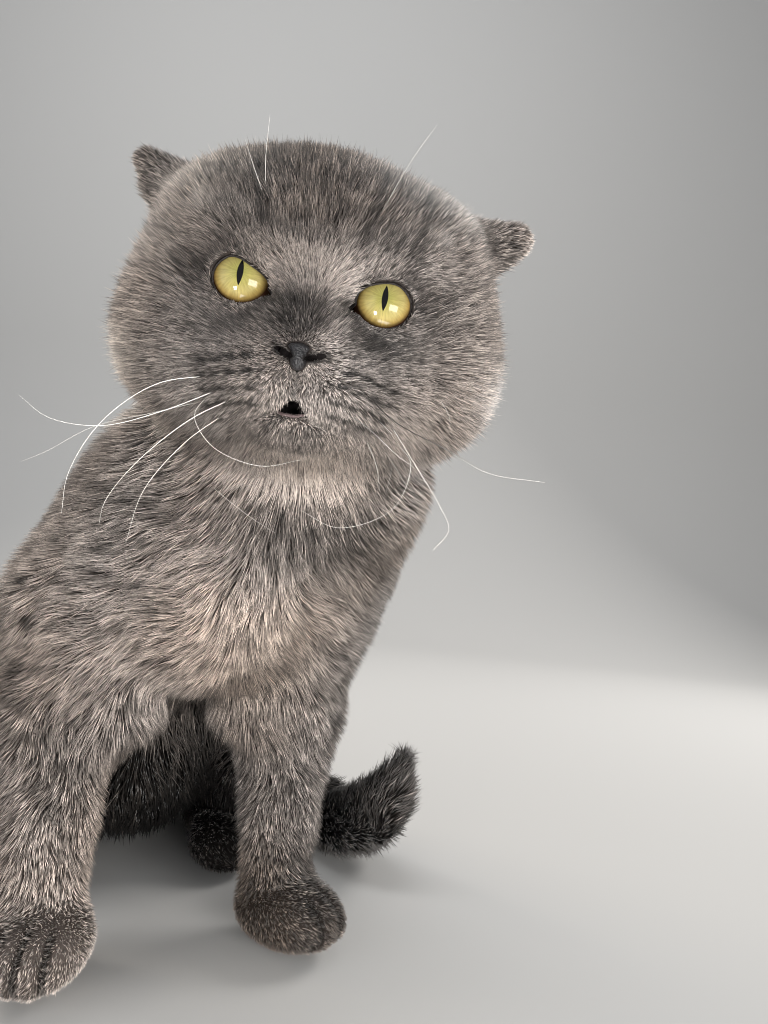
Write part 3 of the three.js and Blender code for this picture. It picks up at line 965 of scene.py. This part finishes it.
def add_coat(roots, finish):
    grown = grow(roots)
    for name, group, chosen in coat_pieces(roots):
        points, faces = spikes(grown, chosen)
        mesh = make_mesh(name, points, faces)
        colour = np.zeros((len(chosen), SPIKE_POINTS, 4))
        colour[..., 0] = grown.tone[chosen, None] / TONE_TOP
        colour[..., 1] = grown.warm[chosen, None]
        colour[..., 3] = SPIKE_ALONG
        set_attribute(mesh, "coat", colour)
        place = unwrapped(roots.at[chosen], group)
        uv = place[:, None] + np.stack([SPIKE_ACROSS - 0.5, SPIKE_ALONG - 0.5], 1)[None] * PATCH
        layer = mesh.uv_layers.new(name="OFBake")
        layer.data.foreach_set("uv", uv.reshape(-1, 2)[faces.ravel()].astype(np.float32).ravel())
        add_object(name, mesh, finish)


# Finishes
def operator(operation, swapped=False):
    """A method that turns one of Python's operators into a Math node."""
    def act(wire, *others):
        return wire.maths(operation, *others, wire) if swapped else wire.maths(operation, wire, *others)
    return act


class Wire:
    """A node's output. Sums and products of wires and numbers become Math nodes."""

    def __init__(self, finish, socket):
        self.finish, self.socket = finish, socket

    def maths(self, operation, *numbers):
        return self.finish.node("Math", {"operation": operation}, dict(enumerate(numbers)))

    __add__ = __radd__ = operator("ADD")
    __mul__ = __rmul__ = operator("MULTIPLY")
    __sub__, __rsub__ = operator("SUBTRACT"), operator("SUBTRACT", swapped=True)
    __truediv__ = operator("DIVIDE")
    __pow__ = operator("POWER")
    __abs__ = operator("ABSOLUTE")

    def step(self, low, high):
        """0 at low and 1 at high, eased between."""
        ends = {"Value": self, "From Min": low, "From Max": high}
        return self.finish.node("MapRange", {"interpolation_type": "SMOOTHSTEP"}, ends)

    def parts(self, kind):
        """The outputs of a node that takes this wire apart."""
        first = self.finish.node(kind, None, {0: self})
        return [Wire(self.finish, out) for out in first.socket.node.outputs]


class Finish:
    def __init__(self, name, **uniform):
        self.material = bpy.data.materials.new(name)
        self.material.use_nodes = True
        self.tree = self.material.node_tree
        self.shader = self.tree.nodes["Principled BSDF"]
        for label, value in uniform.items():
            self.shader.inputs[label.replace("_", " ")].default_value = value

    def plug(self, socket, value):
        if isinstance(value, Wire):
            self.tree.links.new(value.socket, socket)
        else:
            socket.default_value = value

    def node(self, kind, settings=None, sockets=None, out=0):
        """A node of any kind: first its settings, then the values or links of its sockets."""
        made = self.tree.nodes.new("ShaderNode" + kind)
        for key, value in (settings or {}).items():
            if key == "stops":
                self.set_stops(made.color_ramp, value)
            else:
                setattr(made, key, value)
        for key, value in (sockets or {}).items():
            self.plug(made.inputs[key], value)
        return Wire(self, made.outputs[out])

    def set_stops(self, ramp, stops):
        while len(ramp.elements) < len(stops):
            ramp.elements.new(0.5)
        for element, (position, colour) in zip(ramp.elements, stops):
            element.position = position
            element.color = (*colour, 1)

    def mix(self, factor, a, b, blend="MIX"):
        return self.node("Mix", {"data_type": "RGBA", "blend_type": blend}, {0: factor, 6: a, 7: b}, out=2)

    def ramp(self, value, stops):
        return self.node("ValToRGB", {"stops": stops}, {"Fac": value})

    def noise(self, scale, detail=2.0, where=None):
        where = where or self.node("TexCoord", out=3)
        return self.node("TexNoise", None, {"Vector": where, "Scale": scale, "Detail": detail})

    def attribute(self, name, out):
        return self.node("Attribute", {"attribute_name": name}, out=out)

    def feed(self, **wires):
        for label, wire in wires.items():
            self.plug(self.shader.inputs[label.replace("_", " ")], wire)
        return self.material


TONE_TOP = 4.0
# Tufts run from a dark root to a pale tip. The dark root is partly the fur's own colour and partly painted
# shade deep in the coat.
ROOT_GREY_AND_SHADE, MIDDLE_GREY, TIP_GREY = (0.020, 0.017, 0.016), (0.105, 0.093, 0.086), (0.30, 0.278, 0.265)
WARM_DYE = (1.0, 0.84, 0.70)
# Near black: the dark bare skin of the lids and nose, and painted shade inside the mouth's gap and the
# nostrils.
DARK_SKIN_AND_HOLE_SHADE = (0.004, 0.003, 0.003)


def coat_colour(finish, along=None):
    """The coat's colour with its painted light and shade, and how bare the skin is. Tufts carry how far along
    them each point is.
    """
    marks_and_painted_light = finish.attribute("coat", "Color")
    tone, warm, bare = marks_and_painted_light.parts("SeparateColor")
    along = along or finish.attribute("coat", "Alpha")
    grey = finish.ramp(along, [(0.0, ROOT_GREY_AND_SHADE), (0.45, MIDDLE_GREY), (1.0, TIP_GREY)])
    lit = finish.mix(1.0, grey, tone * TONE_TOP, "MULTIPLY")
    return finish.mix(warm, lit, finish.mix(1.0, lit, (*WARM_DYE, 1), "MULTIPLY")), bare


def fur_finish():
    fur = Finish("plush_grey_fur", Roughness=0.42, Specular_IOR_Level=0.5)
    return fur.feed(Base_Color=coat_colour(fur)[0])


def skin_finish():
    # The skin under the fur takes the colour near the tufts' roots, which is partly painted shade.
    skin = Finish("undercoat_and_painted_shade", Roughness=0.8, Specular_IOR_Level=0.08)
    colour, bare = coat_colour(skin, 0.05)
    # Bare places go near black: dark skin on the lids and nose, painted shade in the mouth's gap and
    # nostrils.
    return skin.feed(Base_Color=skin.mix(bare, colour, (*DARK_SKIN_AND_HOLE_SHADE, 1)))


def eye_finish():
    eye = Finish(
        "amber_eye", Roughness=0.6, Specular_IOR_Level=0.0,
        Coat_Roughness=0.02, Coat_Weight=1.0, Coat_IOR=1.38)
    place = eye.attribute("spot", "Vector")
    out, _, up = place.parts("SeparateXYZ")
    radius = (out * out + up * up) ** 0.5
    narrowing = 1 - (up / 4.3) * (up / 4.3)
    slit = abs(out) / narrowing.maths("MAXIMUM", narrowing * 1.05, 0.02)
    pupil = 1 - slit.step(0.85, 1.05)
    spoke = eye.node("CombineXYZ", None, {"X": out / radius * 6, "Y": up / radius * 6, "Z": radius * 0.22})
    fibre = eye.noise(1.6, 4.0, spoke)
    rings = eye.noise(0.5, 3.0, place)
    gold = eye.ramp(radius / 10, [
        (0.0, (0.18, 0.18, 0.045)), (0.30, (0.26, 0.235, 0.075)), (0.62, (0.32, 0.265, 0.10)),
        (0.80, (0.24, 0.165, 0.05)), (0.90, (0.04, 0.018, 0.01)),
    ])
    streaked = eye.mix(0.40, gold, eye.ramp(fibre * 0.8 + rings * 0.2, [
        (0.30, (0.45, 0.42, 0.35)), (0.52, (1.0, 1.0, 0.95)), (0.72, (1.5, 1.45, 1.2)),
    ]), "MULTIPLY")
    return eye.feed(Base_Color=eye.mix(pupil, streaked, (0.004, 0.004, 0.004, 1)))


def bare_finish(name, colour, roughness, grain):
    """Pebbled skin in patches of a darker and a paler tint, painted black inside the nostrils as shade."""
    skin = Finish(name, Roughness=roughness)
    where = skin.node("TexCoord", out=3)
    pebble = skin.node("TexVoronoi", {"feature": "F1"}, {"Vector": where, "Scale": grain})
    bump = skin.node("Bump", None, {"Height": pebble, "Strength": 0.8, "Distance": 0.0004})
    darker, paler = ((*(c * share for c in colour), 1) for share in (0.7, 1.3))
    patchy = skin.mix(skin.noise(300.0), darker, paler)
    inside = skin.attribute("inside", "Fac")
    return skin.feed(Base_Color=skin.mix(inside, patchy, (*DARK_SKIN_AND_HOLE_SHADE, 1)), Normal=bump)


# Round bars: eyeballs, lid edges, lip and whiskers
def tube(line, radii, sides, closed=False, ends=None):
    """A round bar along a line of points, closed on itself or with a point at each end."""
    radii = np.broadcast_to(radii, len(line))
    heading = unit(np.roll(line, -1, 0) - np.roll(line, 1, 0) if closed else np.gradient(line, axis=0))
    side = unit(np.cross(heading, [0.31, 0.83, 0.46]))
    up = np.cross(heading, side)
    turn = np.linspace(0, 2 * math.pi, sides, endpoint=False)
    ring = side[:, None] * np.cos(turn)[:, None] + up[:, None] * np.sin(turn)[:, None]
    points = (line[:, None] + ring * radii[:, None, None]).reshape(-1, 3)
    total = len(points)
    start = np.arange(total if closed else total - sides)
    after = start - start % sides + (start + 1) % sides
    across, beside = (after + sides) % total, (start + sides) % total
    faces = [np.column_stack([start, after, across]), np.column_stack([start, across, beside])]
    if not closed:
        points = np.vstack([points, line[[0, -1]] if ends is None else ends])
        low, high, last = start[:sides], after[:sides], total - sides
        faces.append(np.column_stack([0 * low + total, high, low]))
        faces.append(np.column_stack([0 * low + total + 1, last + low, last + high]))
    return points, np.concatenate(faces)


BALL_RINGS, BALL_SIDES = 64, 96
GAZE_UP = 2.1


def add_eyes(finish):
    """Each eyeball is a round bar along its line of sight, as thick at each place as a ball is."""
    angles = np.linspace(0, math.pi, BALL_RINGS + 1)
    line = np.outer(-np.cos(angles), [0, EYE_RADIUS, 0])
    radii = np.sin(angles) * EYE_RADIUS
    local, faces = tube(line[1:-1], radii[1:-1], BALL_SIDES, ends=line[[0, -1]])
    for s in (1, -1):
        side = side_word(s)
        mesh = make_mesh(f"eye_{side}", from_head(local + eye_middle(s)), faces)
        set_attribute(mesh, "spot", local - [0, 0, GAZE_UP])
        add_object(f"eyeball_{side}", mesh, finish, [f"eye_{side}"])


def lid_line(s, count=72):
    """The edge of the opening, laid on the eyeball, in head coordinates."""
    line = []
    for angle in np.linspace(0, 2 * math.pi, count, endpoint=False):
        ray = np.array([math.cos(angle), math.sin(angle)])
        reach = np.linspace(0, 10.8, 220)
        inside = opening(reach * ray[0], reach * ray[1], s) < 0
        r = reach[inside].max()
        out, up = ray * r
        line.append([out * s, -math.sqrt(max((EYE_RADIUS + 0.35) ** 2 - r * r, 0)), up])
    return np.array(line) + eye_middle(s)


def add_lids(finish):
    for s in (1, -1):
        points, faces = tube(lid_line(s), 0.42, 8, closed=True)
        mesh = make_mesh(f"lid_{side_word(s)}", from_head(points), faces)
        add_object(f"lid_edge_{side_word(s)}", mesh, finish)


# Nose leather
def add_nose(finish):
    points, quads = surface_net(nose_distance, [-11, -30, -30], [11, -14, -14], 0.5)
    points = onto_surface(nose_distance, points, 0.25)
    mesh = make_mesh("nose_leather", from_head(points), quads)
    # Where the nostrils are, painted near black as the shade inside them.
    inside = np.maximum(*(ease(0.9, 0.1, nostril(points, s)) for s in (1, -1)))
    set_attribute(mesh, "inside", inside)
    add_object("nose_leather", mesh, finish, ["nose"])


# Whiskers in head coordinates: how thick and how dark each is at its root, then its route.
WHISKERS = [
    (0.19, 0, (-27, -9, -31), (-42, -17, -37), (-56, -19, -51), (-63, -21, -68), (-63, -22, -80)),
    (0.19, 0, (-24, -10, -35), (-39, -19, -45), (-55, -22, -52), (-70, -24, -52), (-78, -26, -47)),
    (0.20, 0, (-19, -11, -37), (-30, -19, -46), (-44, -21, -62), (-51, -22, -75), (-51, -24, -81)),
    (0.18, 0, (-22, -3, -42), (-32, -14, -54), (-41, -18, -70), (-43, -22, -86)),
    (0.15, 0, (-28, -5, -37), (-29, -17, -45), (-21, -22, -53), (-6, -26, -56), (6, -30, -52)),
    (0.12, 0, (-29, 32, -69), (-18, 6, -71), (-8, -8, -74), (1, -20, -76)),
    (0.10, 0.4, (-29, -3, -39), (-44, -10, -46), (-60, -13, -53), (-73, -14, -63), (-79, -16, -67)),
    (0.16, 1, (22, -14, -29), (32, -17, -36), (50, -16, -42), (64, -15, -47), (83, -14, -47)),
    (0.17, 0.8, (15, -15, -35), (25, -20, -40), (34, -20, -46), (40, -20, -49)),
    (0.15, 0, (31, -4, -36), (40, -11, -47), (51, -13, -60), (55, -15, -67), (51, -16, -74)),
    (0.15, 0, (35, 5, -42), (40, -10, -49), (36, -17, -63), (20, -23, -71), (8, -28, -67)),
    (0.13, 0, (24, -2, -42), (29, -12, -51), (31, -16, -58)),
    (0.12, 0, (31, 7, -45), (36, -8, -51), (39, -14, -55)),
    (0.12, 1, (32, 11, -46), (34, -8, -51), (33, -18, -58)),
    (0.13, 0, (44, -1, -23), (50, -6, -31), (51, -6, -35)),
    (0.17, 1, (24, -10, -34), (28, -14, -37), (32, -16, -40)),
    (0.12, 0, (-19, -2, 26), (-24, -10, 35), (-27, -12, 41)),
    (0.12, 0, (-20, -1, 29), (-20, -12, 37), (-20, -16, 48)),
    (0.11, 0.3, (17, -2, 28), (24, -11, 44), (30, -14, 55)),
]


WHISKER_SIDES = 5


def add_whiskers(finish):
    points, faces, dark, count = [], [], [], 0
    for thick, root_dark, *route in WHISKERS:
        line = curve_through(np.array(route, float), 26)
        share = np.linspace(0, 1, len(line))
        p, f = tube(line, (0.72 + 0.3 * root_dark) * thick * (1 - 0.75 * share**1.5), WHISKER_SIDES)
        points.append(p)
        faces.append(f + count)
        shade = root_dark * ease(1.1, 0.3, share)
        dark += [*np.repeat(shade, WHISKER_SIDES), shade[0], shade[-1]]
        count += len(p)
    mesh = make_mesh("whiskers", from_head(np.concatenate(points)), np.concatenate(faces))
    set_attribute(mesh, "dark", dark)
    add_object("whiskers", mesh, finish)


def whisker_finish():
    bristle = Finish("pale_bristle", Roughness=0.3)
    dark = bristle.attribute("dark", "Fac")
    return bristle.feed(Base_Color=bristle.mix(dark, (0.70, 0.68, 0.64, 1), (0.02, 0.017, 0.015, 1)))


# The lower lip's bare edge, in head coordinates
LIP = np.array([[-5.0, -13.8, -38.9], [-2.5, -15.4, -39.5], [1.0, -15.9, -39.5], [4.6, -14.6, -38.4]])


def add_lip(finish):
    line = curve_through(LIP, 15)
    share = np.linspace(-1, 1, len(line))
    points, faces = tube(line, 0.2 + 0.35 * np.sqrt(np.maximum(1 - share**2, 0)), 10)
    add_object("lower_lip", make_mesh("lower_lip", from_head(points), faces), finish)


# Lights and floor
# Each light's name, power, breadth and height, place, aim and tint. The small ones stand below
# the camera: one lights the eyes, the other the fur in the shadow of the chin.
LIGHTS = [
    ("window_front", 9.0, (500, 320), [200, -1050, 190], [0, -60, 180], (1.0, 0.985, 0.96)),
    ("eye_light", 1.1, (80, 80), [-300, -420, 50], [10, -150, 230], (1.0, 0.98, 0.95)),
    ("throat_light", 0.85, (200, 100), [0, -290, 25], [5, -130, 210], (1.0, 0.97, 0.93)),
    ("fill_left", 2.0, (800, 700), [-900, -400, 400], [0, -60, 170], (0.95, 0.97, 1.0)),
    ("rim_right", 15.0, (600, 600), [1300, 150, 900], [0, -60, 190], (1.0, 0.97, 0.93)),
    ("rim_left", 9.0, (600, 500), [-700, 900, 750], [0, -40, 190], (1.0, 0.90, 0.78)),
    ("backdrop_light", 24.0, (1500, 900), [-200, 300, 1900], [700, 1900, 700], (1.0, 1.0, 1.0)),
]


def add_light(name, power, size, at, aim, tint):
    data = bpy.data.lights.new(name, "AREA")
    data.shape = "RECTANGLE"
    data.size, data.size_y = (v * MM for v in size)
    data.energy = power
    data.color = tint
    light = bpy.data.objects.new(name, data)
    light.location, target = (Vector((np.array(p, float) + SHIFT) * MM) for p in (at, aim))
    light.rotation_euler = (target - light.location).to_track_quat("-Z", "Y").to_euler()
    bpy.context.scene.collection.objects.link(light)


def add_stage():
    scene = bpy.context.scene
    scene.view_settings.view_transform = "Standard"
    scene.cycles.filter_width = 1.0
    for light in LIGHTS:
        add_light(*light)
    world = bpy.data.worlds.new("pale_room")
    world.use_nodes = True
    glow = world.node_tree.nodes["Background"]
    glow.inputs["Color"].default_value = (0.9, 0.92, 0.95, 1)
    glow.inputs["Strength"].default_value = 0.36
    scene.world = world
    add_sweep()


# The floor's shape, in metres
SWEEP_NEAR, SWEEP_FAR, SWEEP_CURVE, SWEEP_HALF = -1.6, 1.1, 0.7, 2.6


def add_sweep():
    """A pale floor that curves up behind the cat."""
    angles = np.linspace(0, math.pi / 2, 17)
    away = [SWEEP_NEAR, *(SWEEP_FAR + SWEEP_CURVE * np.sin(angles)), SWEEP_FAR + SWEEP_CURVE]
    rise = [0, *(SWEEP_CURVE * (1 - np.cos(angles))), SWEEP_HALF]
    turned = Matrix.Rotation(CAMERA_AZIMUTH, 3, "Z")
    points = [turned @ Vector((x, y, z)) for y, z in zip(away, rise) for x in (-SWEEP_HALF, SWEEP_HALF)]
    faces = [(2 * k, 2 * k + 1, 2 * k + 3, 2 * k + 2) for k in range(len(away) - 1)]
    mesh = bpy.data.meshes.new("floor")
    mesh.from_pydata(points, [], faces)
    mesh.shade_smooth()
    mesh.materials.append(Finish("pale_floor", Roughness=0.9, Base_Color=(0.44, 0.437, 0.43, 1)).material)
    ground = bpy.data.objects.new("floor", mesh)
    bpy.context.scene.collection.objects.link(ground)


FLESH = [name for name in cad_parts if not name.startswith("eye_") and name != "nose"]


def main():
    add_camera()
    add_stage()
    skin = build_skin()
    points = points_of(skin)
    depth, lie, group = coat_at(points)
    tone, warm = tones(points)
    # The coat's tone with its painted light and shade, its warmth and its bareness.
    marks_and_painted_light = np.column_stack([tone / TONE_TOP, warm, bare_at(points), 0 * tone])
    set_attribute(skin, "coat", marks_and_painted_light)
    add_object("skin", skin, skin_finish(), FLESH)
    add_eyes(eye_finish())
    add_lids(bare_finish("dark_lids", (0.010, 0.006, 0.005), 0.5, 2500.0))
    add_nose(bare_finish("slate_leather", (0.007, 0.0065, 0.008), 0.38, 1900.0))
    add_lip(bare_finish("rosy_lip", (0.070, 0.046, 0.046), 0.6, 1500.0))
    add_whiskers(whisker_finish())
    add_coat(scatter(skin, depth, lie, group), fur_finish())


main()
